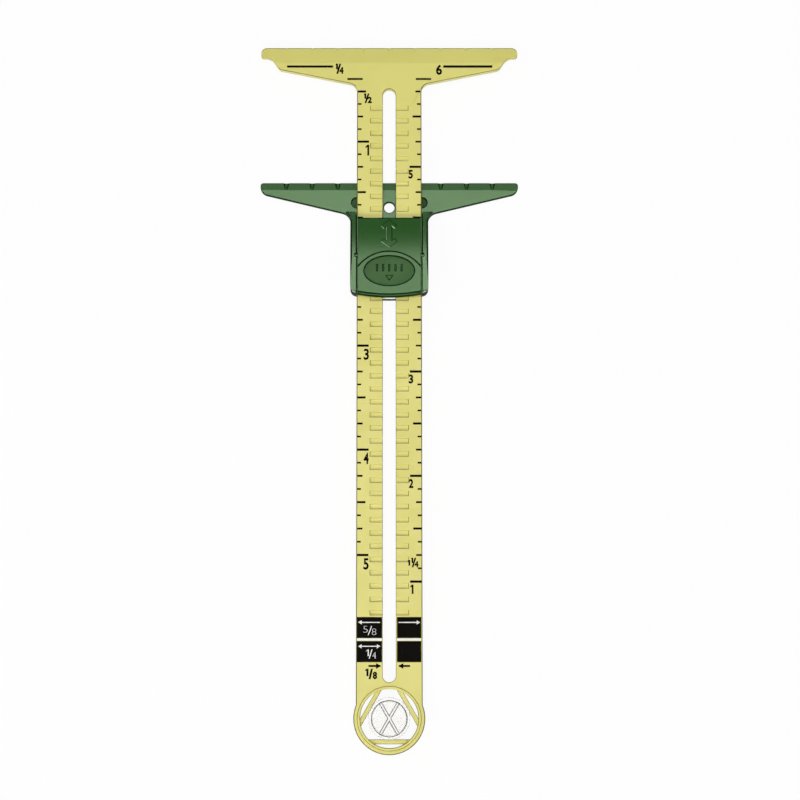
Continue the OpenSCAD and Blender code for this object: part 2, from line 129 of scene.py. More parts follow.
# Print: its thickness, where the inches are counted from, how far in from the shaft's sides it begins,
# and the length and stroke of its marks at whole inches, halves, quarters and eighths
INK = 0.012
ZERO_INSET = -1.33
SCALE_INCHES = 6.25
PRINT_INSET = 0.2
TICK_LENGTH = {8: 2.75, 4: 2.0, 2: 1.3, 1: 0.9}
TICK_STROKE = {8: 0.56, 4: 0.52, 2: 0.46, 1: 0.42}


# Shared mesh steps
def node_copy(*nodes):
    """The triangles of CAD nodes in one bmesh, with their shared corners merged."""
    bm = bmesh.new()
    for node in nodes:
        bm.from_mesh(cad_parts[node].data)
    bmesh.ops.remove_doubles(bm, verts=bm.verts, dist=MERGE * MM)
    return bm


def join_flats(bm):
    """Makes one face of triangles that lie in one plane."""
    bmesh.ops.dissolve_limit(bm, angle_limit=FLAT_ANGLE, verts=bm.verts, edges=bm.edges)


def weigh_edges(bm, weight_of):
    """Gives each outer edge its share of the rounding, by weight_of(edge), and keeps inner corners crisp."""
    weight = bm.edges.layers.float.new("bevel_weight_edge")
    for edge in bm.edges:
        if not edge.is_manifold:
            continue
        angle = edge.calc_face_angle_signed()
        if angle > SHARP_ANGLE:
            edge[weight] = weight_of(edge)
        elif angle < -SHARP_ANGLE:
            edge.smooth = False
        elif abs(angle) > CREASE_ANGLE and all(abs(f.normal.z) > LEVEL for f in edge.link_faces):
            edge.smooth = False
    for face in bm.faces:
        face.smooth = True


def round_edges(piece, width):
    """Rounds the weighted edges; the large faces then lead the shading, so that flats look flat beside them."""
    bevel = piece.modifiers.new("soft_edges", "BEVEL")
    bevel.limit_method = "WEIGHT"
    bevel.width = width * MM
    bevel.segments = 2
    bevel.profile = 0.5
    bevel.use_clamp_overlap = False
    shading = piece.modifiers.new("large_faces_lead", "WEIGHTED_NORMAL")
    shading.weight = 100
    shading.keep_sharp = True
    rounded = bpy.data.meshes.new_from_object(piece.evaluated_get(bpy.context.evaluated_depsgraph_get()))
    rounded.name = piece.name
    piece.modifiers.clear()
    piece.data = rounded


def arch_normal(y):
    """Direction that the arch faces at this place along the bar."""
    lean = max(0, y - lever_low.y - ARCH_FROM_END) / ARCH_RADIUS
    return Vector((0, lean, sqrt(1 - lean * lean)))


def settle_shading(piece, arch=(0, 0)):
    """Shades large level faces flat, and the faces between the arch's two heights as one true curve."""
    mesh = piece.data
    normals = [corner.vector.copy() for corner in mesh.corner_normals]

    def fan(loop):
        return mesh.loops[loop].vertex_index, tuple(round(part, 3) for part in normals[loop])

    leads = {}
    for face in mesh.polygons:
        place = face.center / MM
        arched = arch[0] < place.z < arch[1] and face.normal.dot(arch_normal(place.y)) > ARCH_TOLERANCE
        level = abs(face.normal.z) > LEVEL and face.area > LARGE_FACE * MM * MM
        if not arched and not level:
            continue
        for loop in face.loop_indices:
            y = mesh.vertices[mesh.loops[loop].vertex_index].co.y / MM
            leads[fan(loop)] = arch_normal(y) if arched else face.normal.copy()
    mesh.normals_split_custom_set([leads.get(fan(loop), normals[loop]) for loop in range(len(normals))])


def plain_rims(piece, material, steepest=0.0):
    """Gives the rims of a piece, and its walls unless steepest leaves them out, a material of their own: a dark
    colour painted on as the shade along its edges.
    """
    index = len(piece.data.materials)
    piece.data.materials.append(material)
    for face in piece.data.polygons:
        if steepest <= abs(face.normal.z) < RIM_LEAN:
            face.material_index = index


def add_piece(name, bm, material, body, slot, *nodes):
    """Makes a mesh the piece that rides on a body and stands in for CAD nodes; with no body it is left
    unattached.
    """
    mesh = bpy.data.meshes.new(name)
    bm.to_mesh(mesh)
    bm.free()
    mesh.materials.append(material)
    piece = bpy.data.objects.new(name, mesh)
    bpy.context.scene.collection.objects.link(piece)
    if body:
        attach(piece, body)
    if nodes:
        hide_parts(*nodes)
    return piece


# Materials
# Skin of moulded plastic: directions in degrees and fineness of the two sets of scuffs, how much they are
# drawn out, the size of the patches they come in, and how much rougher and deeper than the skin they are
SCUFF_SETS = ((24, 3200), (-63, 2600))
SCUFF_STRETCH = (1, 0.05, 1)
PATCH_SCALE = 190.0
SCUFF_ROUGHER = 0.3
SCUFF_DEEPER = 2.0
# Stretch of noise that isn't drawn out, and the depth of the skin's bumps
EVEN = (1, 1, 1)
BUMP_DEEP = 0.01


def new_group(name, inputs, outputs):
    """Node group with inputs by name and value, and outputs by name and kind."""
    group = bpy.data.node_groups.new(name, "ShaderNodeTree")
    kinds = {float: "NodeSocketFloat", tuple: "NodeSocketColor"}
    for label, value in inputs.items():
        socket = group.interface.new_socket(label, in_out="INPUT", socket_type=kinds[type(value)])
        socket.default_value = value
    for label, kind in outputs.items():
        group.interface.new_socket(label, in_out="OUTPUT", socket_type=kinds[kind])
    return group, group.nodes.new("NodeGroupInput"), group.nodes.new("NodeGroupOutput")


def add(tree, kind, settings=None, **values):
    """Adds a node; settings are its own properties, and values its unlinked inputs by name."""
    node = tree.nodes.new("ShaderNode" + kind)
    for key, value in (settings or {}).items():
        setattr(node, key, value)
    for key, value in values.items():
        node.inputs[key.replace("_", " ")].default_value = value
    return node


def math_node(tree, operation, a, b=None, clamp=False):
    """Math node on numbers or sockets; gives its output."""
    node = add(tree, "Math", {"operation": operation, "use_clamp": clamp})
    for socket, value in zip(node.inputs, (a, b)):
        if isinstance(value, bpy.types.NodeSocket):
            tree.links.new(value, socket)
        elif value is not None:
            socket.default_value = value
    return node.outputs[0]


def above(tree, value, start, gain):
    """How far a value is above its start, times a gain, within 0 and 1."""
    return math_node(tree, "MULTIPLY", math_node(tree, "SUBTRACT", value, start), gain, clamp=True)


def stretched_noise(tree, place, scale, detail, stretch=EVEN, turn=0):
    """Noise on the piece's own coordinates, which may be drawn out along one direction."""
    mapping = add(tree, "Mapping", Rotation=(0, 0, radians(turn)), Scale=stretch)
    tree.links.new(place, mapping.inputs["Vector"])
    noise = add(tree, "TexNoise", Detail=detail)
    tree.links.new(mapping.outputs[0], noise.inputs["Vector"])
    if isinstance(scale, bpy.types.NodeSocket):
        tree.links.new(scale, noise.inputs["Scale"])
    else:
        noise.inputs["Scale"].default_value = scale
    return noise.outputs["Fac"]


def moulded_skin():
    """Surface of moulded plastic: cloudy colour, fine grain, and thin handling scuffs in two directions."""
    group, given, result = new_group(
        "moulded_skin",
        {
            "Colour": (0.5, 0.5, 0.5, 1.0),
            "Cloud Colour": (0.5, 0.5, 0.5, 1.0),
            "Scuff Colour": (0.8, 0.8, 0.8, 1.0),
            "Cloud Scale": 60.0,
            "Grain Scale": 4500.0,
            "Scuff Amount": 0.2,
            "Roughness": 0.35,
            "Roughness Spread": 0.1,
        },
        {"Colour": tuple, "Roughness": float, "Height": float},
    )
    place = add(group, "TexCoord").outputs["Object"]
    cloud = stretched_noise(group, place, given.outputs["Cloud Scale"], detail=3.0)
    grain = stretched_noise(group, place, given.outputs["Grain Scale"], detail=2.0)
    scuffs = []
    for turn, fine in SCUFF_SETS:
        streak = stretched_noise(group, place, fine, detail=1.0, stretch=SCUFF_STRETCH, turn=turn)
        scuffs.append(above(group, streak, start=0.69, gain=9.0))
    patch = above(group, stretched_noise(group, place, PATCH_SCALE, detail=2.0), start=0.45, gain=5.0)
    scuff = math_node(group, "MAXIMUM", *scuffs)
    scuff = math_node(group, "MULTIPLY", scuff, patch)
    scuff = math_node(group, "MULTIPLY", scuff, given.outputs["Scuff Amount"])

    clouded = add(group, "Mix", {"data_type": "RGBA"})
    group.links.new(above(group, cloud, start=0.35, gain=3.0), clouded.inputs["Factor"])
    group.links.new(given.outputs["Colour"], clouded.inputs["A"])
    group.links.new(given.outputs["Cloud Colour"], clouded.inputs["B"])
    worn = add(group, "Mix", {"data_type": "RGBA"})
    group.links.new(scuff, worn.inputs["Factor"])
    group.links.new(clouded.outputs["Result"], worn.inputs["A"])
    group.links.new(given.outputs["Scuff Colour"], worn.inputs["B"])
    group.links.new(worn.outputs["Result"], result.inputs["Colour"])

    centred = math_node(group, "SUBTRACT", patch, 0.5)
    swing = math_node(group, "MULTIPLY", centred, given.outputs["Roughness Spread"])
    rough = math_node(group, "ADD", given.outputs["Roughness"], swing)
    rougher = math_node(group, "MULTIPLY", scuff, SCUFF_ROUGHER)
    rough = math_node(group, "ADD", rough, rougher, clamp=True)
    group.links.new(rough, result.inputs["Roughness"])
    height = math_node(group, "SUBTRACT", grain, math_node(group, "MULTIPLY", scuff, SCUFF_DEEPER))
    group.links.new(height, result.inputs["Height"])
    return group


def skinned_material(name, skin_values, bump_strength, **shader_values):
    """Plastic or ink with the moulded skin; shader_values are constants of the shader itself."""
    material = bpy.data.materials.new(name)
    material.use_nodes = True
    tree = material.node_tree
    shader = tree.nodes["Principled BSDF"]
    skin = tree.nodes.new("ShaderNodeGroup")
    skin.node_tree = SKIN
    for key, value in skin_values.items():
        skin.inputs[key].default_value = value
    bump = add(tree, "Bump", Strength=bump_strength, Distance=BUMP_DEEP * MM)
    tree.links.new(skin.outputs["Height"], bump.inputs["Height"])
    tree.links.new(skin.outputs["Colour"], shader.inputs["Base Color"])
    tree.links.new(skin.outputs["Roughness"], shader.inputs["Roughness"])
    tree.links.new(bump.outputs["Normal"], shader.inputs["Normal"])
    for key, value in shader_values.items():
        shader.inputs[key.replace("_", " ")].default_value = value
    return material


def srgb(red, green, blue):
    """Linear colour of a tone given as it looks, in 0 to 255."""
    def linear(value):
        value = value / 255
        return value / 12.92 if value <= 0.04045 else ((value + 0.055) / 1.055) ** 2.4

    return (linear(red), linear(green), linear(blue), 1.0)


SKIN = moulded_skin()
yellow_plastic = skinned_material(
    "yellow_plastic",
    {
        "Colour": srgb(225, 218, 122),
        "Cloud Colour": srgb(220, 213, 118),
        "Scuff Colour": srgb(236, 230, 182),
        "Cloud Scale": 45.0,
        "Scuff Amount": 0.25,
        "Roughness": 0.34,
        "Roughness Spread": 0.1,
    },
    bump_strength=0.25,
    IOR=1.5,
    Specular_IOR_Level=0.35,
    Specular_Tint=(1, 0.95, 0.85, 1),
)
# Painted shade: a dark yellow for the bar's rims, standing in for the shade along its rounded edges
yellow_painted_edge_shade = skinned_material(
    "yellow_painted_edge_shade",
    {
        "Colour": srgb(120, 113, 58),
        "Cloud Colour": srgb(112, 106, 54),
        "Scuff Colour": srgb(150, 144, 96),
        "Cloud Scale": 90.0,
        "Scuff Amount": 0.2,
        "Roughness": 0.7,
        "Roughness Spread": 0.1,
    },
    bump_strength=0.3,
    Specular_IOR_Level=0.1,
)
GREEN_SHEEN = {"IOR": 1.5, "Specular_Tint": (0.7, 1, 0.62, 1)}
green_plastic = skinned_material(
    "green_plastic",
    {
        "Colour": srgb(32, 80, 27),
        "Cloud Colour": srgb(30, 75, 25),
        "Scuff Colour": srgb(120, 150, 112),
        "Cloud Scale": 70.0,
        "Scuff Amount": 0.08,
        "Roughness": 0.26,
        "Roughness Spread": 0.015,
    },
    bump_strength=0.25,
    Specular_IOR_Level=0.95,
    **GREEN_SHEEN,
)
green_lever = skinned_material(
    "green_lever",
    {
        "Colour": srgb(31, 79, 25),
        "Cloud Colour": srgb(29, 74, 23),
        "Scuff Colour": srgb(120, 150, 112),
        "Cloud Scale": 70.0,
        "Scuff Amount": 0.08,
        "Roughness": 0.25,
        "Roughness Spread": 0.015,
    },
    bump_strength=0.25,
    Specular_IOR_Level=0.6,
    **GREEN_SHEEN,
)
# Painted shade: a dark green for the slider's and the lever's rims, standing in for the shade along their
# rounded edges
green_painted_edge_shade = skinned_material(
    "green_painted_edge_shade",
    {
        "Colour": srgb(12, 38, 10),
        "Cloud Colour": srgb(10, 34, 9),
        "Scuff Colour": srgb(40, 66, 36),
        "Cloud Scale": 90.0,
        "Scuff Amount": 0.2,
        "Roughness": 0.7,
        "Roughness Spread": 0.1,
    },
    bump_strength=0.3,
    Specular_IOR_Level=0.1,
    **GREEN_SHEEN,
)
# Painted highlight: a pale green for the arrow's edges that face the light, standing in for their glints
green_painted_highlight = skinned_material(
    "green_painted_highlight",
    {
        "Colour": srgb(186, 211, 180),
        "Cloud Colour": srgb(160, 192, 152),
        "Scuff Colour": srgb(214, 230, 208),
        "Cloud Scale": 400.0,
        "Scuff Amount": 0.3,
        "Roughness": 0.35,
        "Roughness Spread": 0.05,
    },
    bump_strength=0.2,
    Specular_IOR_Level=0.6,
)
# Glossy, and painted pale as the highlight on the rails' noses and the plate's end
green_gloss_painted_highlight = skinned_material(
    "green_gloss_painted_highlight",
    {
        "Colour": srgb(222, 240, 216),
        "Cloud Colour": srgb(205, 228, 198),
        "Scuff Colour": srgb(240, 248, 236),
        "Cloud Scale": 400.0,
        "Scuff Amount": 0.2,
        "Roughness": 0.28,
        "Roughness Spread": 0.05,
    },
    bump_strength=0.1,
    IOR=1.9,
    Specular_IOR_Level=1.0,
)
# Matt finish for the floors of the plate's hollows and the lever's dish; it also stands in for the shade in
# these recesses
green_matt_recess_shade = skinned_material(
    "green_matt_recess_shade",
    {
        "Colour": srgb(68, 102, 60),
        "Cloud Colour": srgb(61, 94, 54),
        "Scuff Colour": srgb(110, 140, 100),
        "Cloud Scale": 260.0,
        "Scuff Amount": 0.4,
        "Roughness": 0.6,
        "Roughness Spread": 0.2,
    },
    bump_strength=0.8,
    Specular_IOR_Level=0.3,
    **GREEN_SHEEN,
)
black_ink = skinned_material(
    "black_ink",
    {
        "Colour": srgb(9, 8, 6),
        "Cloud Colour": srgb(14, 12, 8),
        "Scuff Colour": srgb(150, 142, 80),
        "Cloud Scale": 300.0,
        "Scuff Amount": 0.12,
        "Roughness": 0.55,
        "Roughness Spread": 0.1,
    },
    bump_strength=0.2,
    Specular_IOR_Level=0.03,
)
white_ink = skinned_material(
    "white_ink",
    {
        "Colour": srgb(252, 251, 246),
        "Cloud Colour": srgb(240, 239, 232),
        "Scuff Colour": srgb(120, 118, 110),
        "Cloud Scale": 900.0,
        "Scuff Amount": 0.2,
        "Roughness": 0.5,
        "Roughness Spread": 0.1,
    },
    bump_strength=0.2,
)
clear_plastic = skinned_material(
    "clear_plastic",
    {
        "Colour": srgb(227, 226, 222),
        "Cloud Colour": srgb(221, 220, 217),
        "Scuff Colour": srgb(235, 235, 235),
        "Cloud Scale": 400.0,
        "Scuff Amount": 0.2,
        "Roughness": 0.05,
        "Roughness Spread": 0.06,
    },
    bump_strength=0.3,
    IOR=1.49,
    Transmission_Weight=1.0,
)
# Painted shade: dark glass for the rim of the button's front disc, standing in for the dark surroundings seen
# through it
clear_edge_painted_shade = skinned_material(
    "clear_edge_painted_shade",
    {
        "Colour": srgb(48, 48, 46),
        "Cloud Colour": srgb(40, 40, 39),
        "Scuff Colour": srgb(160, 160, 160),
        "Cloud Scale": 900.0,
        "Scuff Amount": 0.1,
        "Roughness": 0.2,
        "Roughness Spread": 0.06,
    },
    bump_strength=0.3,
    IOR=1.49,
    Transmission_Weight=1.0,
)
clear_flange = skinned_material(
    "clear_flange",
    {
        "Colour": srgb(250, 248, 250),
        "Cloud Colour": srgb(246, 243, 247),
        "Scuff Colour": srgb(255, 255, 255),
        "Cloud Scale": 400.0,
        "Scuff Amount": 0.1,
        "Roughness": 0.12,
        "Roughness Spread": 0.06,
    },
    bump_strength=0.2,
    IOR=1.08,
    Transmission_Weight=1.0,
)


def darken_steep(material, colour, blend):
    """Paints clear plastic darker where it is seen edge on, as along its rims and ribs: painted shade standing
    in for the dark surroundings seen through its edges.
    """
    tree = material.node_tree
    shader = tree.nodes["Principled BSDF"]
    surface = shader.inputs["Base Color"].links[0].from_socket
    steep = add(tree, "LayerWeight", Blend=blend)
    edge = add(tree, "Mix", {"data_type": "RGBA"}, B=colour)
    tree.links.new(steep.outputs["Facing"], edge.inputs["Factor"])
    tree.links.new(surface, edge.inputs["A"])
    tree.links.new(edge.outputs["Result"], shader.inputs["Base Color"])


darken_steep(clear_plastic, srgb(18, 19, 17), blend=0.45)


# The bar
# Parts of a face's direction that tell a face square to the bar, one that faces up, a wall,
# a slope of the rack's grooves, and a side of the head's notches
SQUARE = 0.99
UPWARD = 0.5
WALL = 0.2
GROOVE_SLOPE = 0.3
NOTCH_SIDE = 0.35
# How far the rack stays inside the shaft's sides
RACK_INSET = 1
# The ring's outer edge: how far it goes past the ring's middle, and how far in from the outline it counts
RING_PAST = 4
RING_INSET = 0.5


def gauge_bar():
    """The whole bar as one moulding: the four nodes' meeting faces go, and its edges are softened."""
    low, high = (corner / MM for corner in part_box("anchor_button"))
    bm = node_copy("bar_head", "left_leg", "right_leg", "ring_end")
    meeting = [
        face for face in bm.faces
        if abs(face.normal.y) > SQUARE
        and min(abs(face.calc_center_median().y / MM - y) for y in (HEAD_END_Y, RING_END_Y)) < MERGE
    ]
    bmesh.ops.delete(bm, geom=meeting, context="FACES")
    bmesh.ops.remove_doubles(bm, verts=bm.verts, dist=MERGE * MM)
    join_flats(bm)
    ring_y = (low.y + high.y) / 2
    ring_reach = ring_y - (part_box("ring_end")[0] / MM).y
    inner = INNER_ROUND / BAR_ROUND

    def weight(edge):
        point = edge.verts[0].co / MM
        if point.y > HEAD_EDGE_Y - END_DEEP and all(face.normal.z > UPWARD for face in edge.link_faces):
            return 0.0
        if point.y > HEAD_EDGE_Y - HEAD_DEEP:
            under = max(0, -min(face.normal.y for face in edge.link_faces))
            return 1 - under * (1 - inner)
        shaft = abs(point.x) > SHAFT_HALF - MERGE
        ring = point.y < ring_y + RING_PAST and hypot(point.x, point.y - ring_y) > ring_reach - RING_INSET
        return 1.0 if shaft or ring else inner

    weigh_edges(bm, weight)
    bar = add_piece("gauge_bar", bm, yellow_plastic, "bar", "yellow_plastic",
                    "bar_head", "left_leg", "right_leg", "ring_end")
    round_edges(bar, BAR_ROUND)
    settle_shading(bar)
    # The bar's rims are painted dark as shade, but some faces of the rack's grooves and of the head's notches
    # keep the plain yellow
    plain_rims(bar, yellow_painted_edge_shade, WALL)
    for face in bar.data.polygons:
        place = face.center / MM
        in_rack = abs(place.x) < SHAFT_HALF - RACK_INSET and abs(place.y) < HEAD_END_Y
        in_band = place.y > HEAD_EDGE_Y - END_DEEP and place.z < BAR_FRONT - MERGE
        groove = in_rack and face.normal.y < -GROOVE_SLOPE
        notch = in_band and abs(face.normal.y) < NOTCH_SIDE
        if groove or notch:
            face.material_index = MAIN


# The print
# Distance from an arrow head's middle to its corners, as a share of the head's length
ARROW_CORNERS = 0.6
# Which ends of an arrow have a head, the left and the right one
LEFT_HEAD = (True, False)
RIGHT_HEAD = (False, True)
BOTH_HEADS = (True, True)
# Flag of the figure one: where it begins and ends below the top, in shares of the height,
# and how far it laps over the upright and how thick it is, in shares of the stroke
FLAG_TOP = 0.03
FLAG_FOOT = 0.27
FLAG_LAP = 0.3
FLAG_STROKE = 0.9
# Share of its box that a one takes beside other figures
ONE_WIDE = 0.8
# Layouts of a fraction in shares of its box: heights and widths of the upper and the lower figure,
# and where the slash begins and ends
TIGHT_LAYOUT = {"tall": (0.54, 0.66), "wide": (0.34, 0.5), "slash": (0.14, 0.72)}
OPEN_LAYOUT = {"tall": (0.72, 0.72), "wide": (0.34, 0.34), "slash": (0.34, 0.68)}


def ink_block(bm, x0, x1, y0, y1, level=0):
    """Thin block of ink on the bar's front, between two corners; a higher level lies on a lower one."""
    top = BAR_FRONT + INK * (level + 1)
    bottom = BAR_FRONT - INK
    middle = Vector(((x0 + x1) / 2, (y0 + y1) / 2, (top + bottom) / 2)) * MM
    size = Vector((abs(x1 - x0), abs(y1 - y0), top - bottom, 1)) * MM
    size.w = 1
    bmesh.ops.create_cube(bm, size=1, matrix=Matrix.Translation(middle) @ Matrix.Diagonal(size))


def ink_mark(bm, x0, x1, y, stroke, level=0):
    """Stroke straight across the bar, with its middle line at y."""
    ink_block(bm, x0, x1, y - stroke / 2, y + stroke / 2, level)


def ink_slash(bm, x0, x1, y0, y1, stroke, level=0):
    """Slanted stroke from the lower left to the upper right corner of a box."""
    before = set(bm.verts)
    ink_block(bm, x0, x0 + stroke, y0, y1, level)
    lean = (x1 - x0 - stroke) / (y1 - y0)
    for vert in set(bm.verts) - before:
        vert.co.x += (vert.co.y - y0 * MM) * lean


def ink_arrow(bm, x0, x1, y, stroke, head, heads=RIGHT_HEAD, level=0):
    """Line with an arrow head of a given length at one end or at both."""
    ink_mark(bm, x0, x1, y, stroke, level)
    top = BAR_FRONT + INK * (level + 1)
    corners = head * ARROW_CORNERS * MM
    for end, shown, turn in zip((x0, x1), heads, (pi, 0)):
        if not shown:
            continue
        middle = Vector((end - cos(turn) * head / 2, y, top - INK)) * MM
        matrix = Matrix.Translation(middle) @ Matrix.Rotation(turn, 4, "Z")
        bmesh.ops.create_cone(bm, cap_ends=True, segments=3, radius1=corners, radius2=corners,
                              depth=2 * INK * MM, matrix=matrix @ Matrix.Rotation(-pi / 2, 4, "Z"))


def ink_figures(bm, figures, left, top, width, height, fullness, level=0):
    """Figures as a thin prism that fills a box on the bar's front; fullness thickens or thins their strokes."""
    curve = bpy.data.curves.new("figures", "FONT")
    curve.body = figures
    curve.offset = fullness
    curve.resolution_u = 4
    holder = bpy.data.objects.new("figures", curve)
    flat = bpy.data.meshes.new_from_object(holder)
    part = bmesh.new()
    part.from_mesh(flat)
    low = [min(v.co[axis] for v in part.verts) for axis in (0, 1)]
    high = [max(v.co[axis] for v in part.verts) for axis in (0, 1)]
    scale = (width / (high[0] - low[0]), height / (high[1] - low[1]))
    for vert in part.verts:
        vert.co = Vector((
            left + (vert.co.x - low[0]) * scale[0],
            top - height + (vert.co.y - low[1]) * scale[1],
            BAR_FRONT - INK,
        )) * MM
    bmesh.ops.remove_doubles(part, verts=part.verts, dist=MERGE * MM)
    raised = bmesh.ops.extrude_face_region(part, geom=part.faces[:])["geom"]
    rise = Vector((0, 0, INK * (level + 2) * MM))
    bmesh.ops.translate(part, verts=[v for v in raised if isinstance(v, bmesh.types.BMVert)], vec=rise)
    bmesh.ops.recalc_face_normals(part, faces=part.faces)
    solid = bpy.data.meshes.new("figures")
    part.to_mesh(solid)
    part.free()
    bm.from_mesh(solid)
    for spare in (solid, flat):
        bpy.data.meshes.remove(spare)
    bpy.data.objects.remove(holder)
    bpy.data.curves.remove(curve)


def ink_one(bm, left, top, width, height, stroke, level=0):
    """Figure one: an upright stroke, with a flag that slants down to its left."""
    right = left + width
    ink_block(bm, right - stroke, right, top - height, top, level)
    ink_slash(bm, left, right - FLAG_LAP * stroke, top - FLAG_FOOT * height, top - FLAG_TOP * height,
              FLAG_STROKE * stroke, level)


def ink_number(bm, figure, left, top, width, height, stroke, fullness, level=0):
    """One figure in a box; a one is narrow, at the right of the box, and made of strokes."""
    if figure == "1":
        narrow = ONE_WIDE * width
        ink_one(bm, left + width - narrow, top, narrow, height, stroke, level)
    else:
        ink_figures(bm, figure, left, top, width, height, fullness, level)


def ink_fraction(bm, over, under, box, stroke, fullness, layout=TIGHT_LAYOUT, level=0):
    """Fraction in a box (left, top, width, height): one figure above left of a slash, the other below right."""
    left, top, width, height = box
    over_tall, under_tall = (share * height for share in layout["tall"])
    over_wide, under_wide = (share * width for share in layout["wide"])
    slash_from, slash_to = (left + share * width for share in layout["slash"])
    under_left = left + (1 - layout["wide"][1]) * width
    ink_number(bm, over, left, top, over_wide, over_tall, stroke, fullness, level)
    ink_figures(bm, under, under_left, top - height + under_tall, under_wide, under_tall, fullness, level)
    ink_slash(bm, slash_from, slash_to, top - height, top, stroke, level)


def mark_y(inches):
    """Place of a mark of the left-hand scale, counted from the head's edge."""
    return HEAD_EDGE_Y - (INCH * inches + ZERO_INSET)


# First and last eighth of an inch that the left-hand (-1) and the right-hand (1) scale mark on the shaft
SCALE_EIGHTHS = {-1: (4, 40), 1: (8, 46)}


def scale_marks(bm):
    """Marks at every eighth of an inch: the left-hand scale counts down the bar, the right-hand one up it."""
    edge = SHAFT_HALF - PRINT_INSET
    for side, (first, last) in SCALE_EIGHTHS.items():
        for eighth in range(first, last + 1):
            rank = max(step for step in TICK_LENGTH if eighth % step == 0)
            y = mark_y(eighth / 8 if side < 0 else SCALE_INCHES - eighth / 8)
            ink_mark(bm, side * edge, side * (edge - TICK_LENGTH[rank]), y, TICK_STROKE[rank])


# Figures of the scales: the whole inches, and how far they hang below their marks
WHOLE_INCHES = (1, 2, 3, 4, 5)
LEFT_FIGURES = {"left": -6.2, "width": 1.25, "height": 2.75, "stroke": 0.46, "fullness": 0.03}
RIGHT_FIGURES = {"left": 4.7, "width": 1.1, "height": 2.2, "stroke": 0.42, "fullness": 0.04}
INCHES_BELOW = 0.75
# The half inch that the left-hand scale begins with, and the inch and a quarter of the right-hand one
HALF_BELOW = 0.5
QUARTER_BELOW = 0.7
QUARTER_ONE = {"left": 4.45, "width": 0.55, "height": 1.4, "stroke": 0.4}
QUARTER_ONE_LOWER = 0.45
QUARTER_RAISED = 0.05


def scale_figures(bm):
    """Whole inches beside their marks, and the fractions that the scales begin with."""
    for inch in WHOLE_INCHES:
        ink_number(bm, str(inch), top=mark_y(inch) - INCHES_BELOW, **LEFT_FIGURES)
    for inch in WHOLE_INCHES:
        ink_number(bm, str(inch), top=mark_y(SCALE_INCHES - inch) - INCHES_BELOW, **RIGHT_FIGURES)
    box = (-6.4, mark_y(0.5) - HALF_BELOW, 2.1, 2.45)
    ink_fraction(bm, "1", "2", box, stroke=0.44, fullness=0.06)
    quarter = mark_y(SCALE_INCHES - 1.25) - QUARTER_BELOW
    ink_one(bm, top=quarter - QUARTER_ONE_LOWER, **QUARTER_ONE)
    box = (5.1, quarter + QUARTER_RAISED, 1.9, 2.3)
    ink_fraction(bm, "1", "4", box, stroke=0.4, fullness=0.06)


# Marks on the head from end to end, the shorter pair on the right-hand side, and how far the figures
# rise above their marks
QUARTER_MARK = {"x0": -25.3, "x1": -13.9, "stroke": 0.56}
SIX_MARK = {"x0": 13.35, "x1": 25.5, "stroke": 0.6}
SHORT_MARK = (6.55, 10.35)
QUARTER_ABOVE = 0.75
SIX_ABOVE = 0.5


def head_marks(bm):
    """On the head: the marks of a quarter inch and of six inches, and a short pair at three eighths."""
    y = mark_y(0.25)
    ink_mark(bm, y=y, **QUARTER_MARK)
    ink_fraction(bm, "1", "4", (-13.4, y + QUARTER_ABOVE, 2.1, 2.6), stroke=0.48, fullness=0.06)
    ink_mark(bm, y=y, **SIX_MARK)
    ink_figures(bm, "6", left=11.55, top=y + SIX_ABOVE, width=1.5, height=2.6, fullness=0.035)
    inner, outer = SHORT_MARK
    for side in (-1, 1):
        ink_mark(bm, side * inner, side * outer, mark_y(0.375), stroke=0.48)


# Labels of the widths: upper ends and length of the black blocks, their spans left and right of the slot,
# and the gap between a block and a white strip
BLOCK_TOPS = (-53.95, -59.65)
BLOCK_DEEP = 5.0
BLOCK_SPANS = ((-SHAFT_HALF + 0.2, -SLOT_HALF - 0.15), (SLOT_HALF + 0.25, SHAFT_HALF - 0.3))
STRIP_GAP = 0.08
# Middle line of the slot's arrows, and how far those of the shaft and of the leg are below their blocks' tops
SLOT_ARROWS_Y = -65.55
SHAFT_ARROWS_BELOW = 1.28
LEG_ARROW_BELOW = 1.24
SLOT_ARROW = {"stroke": 0.46, "head": 1.3}
WHITE_ARROW = {"stroke": 0.22, "head": 0.95, "level": 1}


def width_blocks(bm):
    """Black blocks that carry the shaft's and the legs' widths, and the arrows of the slot's width."""
    for top in BLOCK_TOPS:
        for left, right in BLOCK_SPANS:
            ink_block(bm, left, right, top - BLOCK_DEEP, top)
    y = SLOT_ARROWS_Y
    ink_arrow(bm, -4.95, -2.1, y, **SLOT_ARROW)
    ink_arrow(bm, 2.3, 4.95, y, heads=LEFT_HEAD, **SLOT_ARROW)
    ink_fraction(bm, "1", "8", (-6.0, y - 0.65, 3.1, 2.45), stroke=0.5, fullness=0.055, layout=OPEN_LAYOUT)


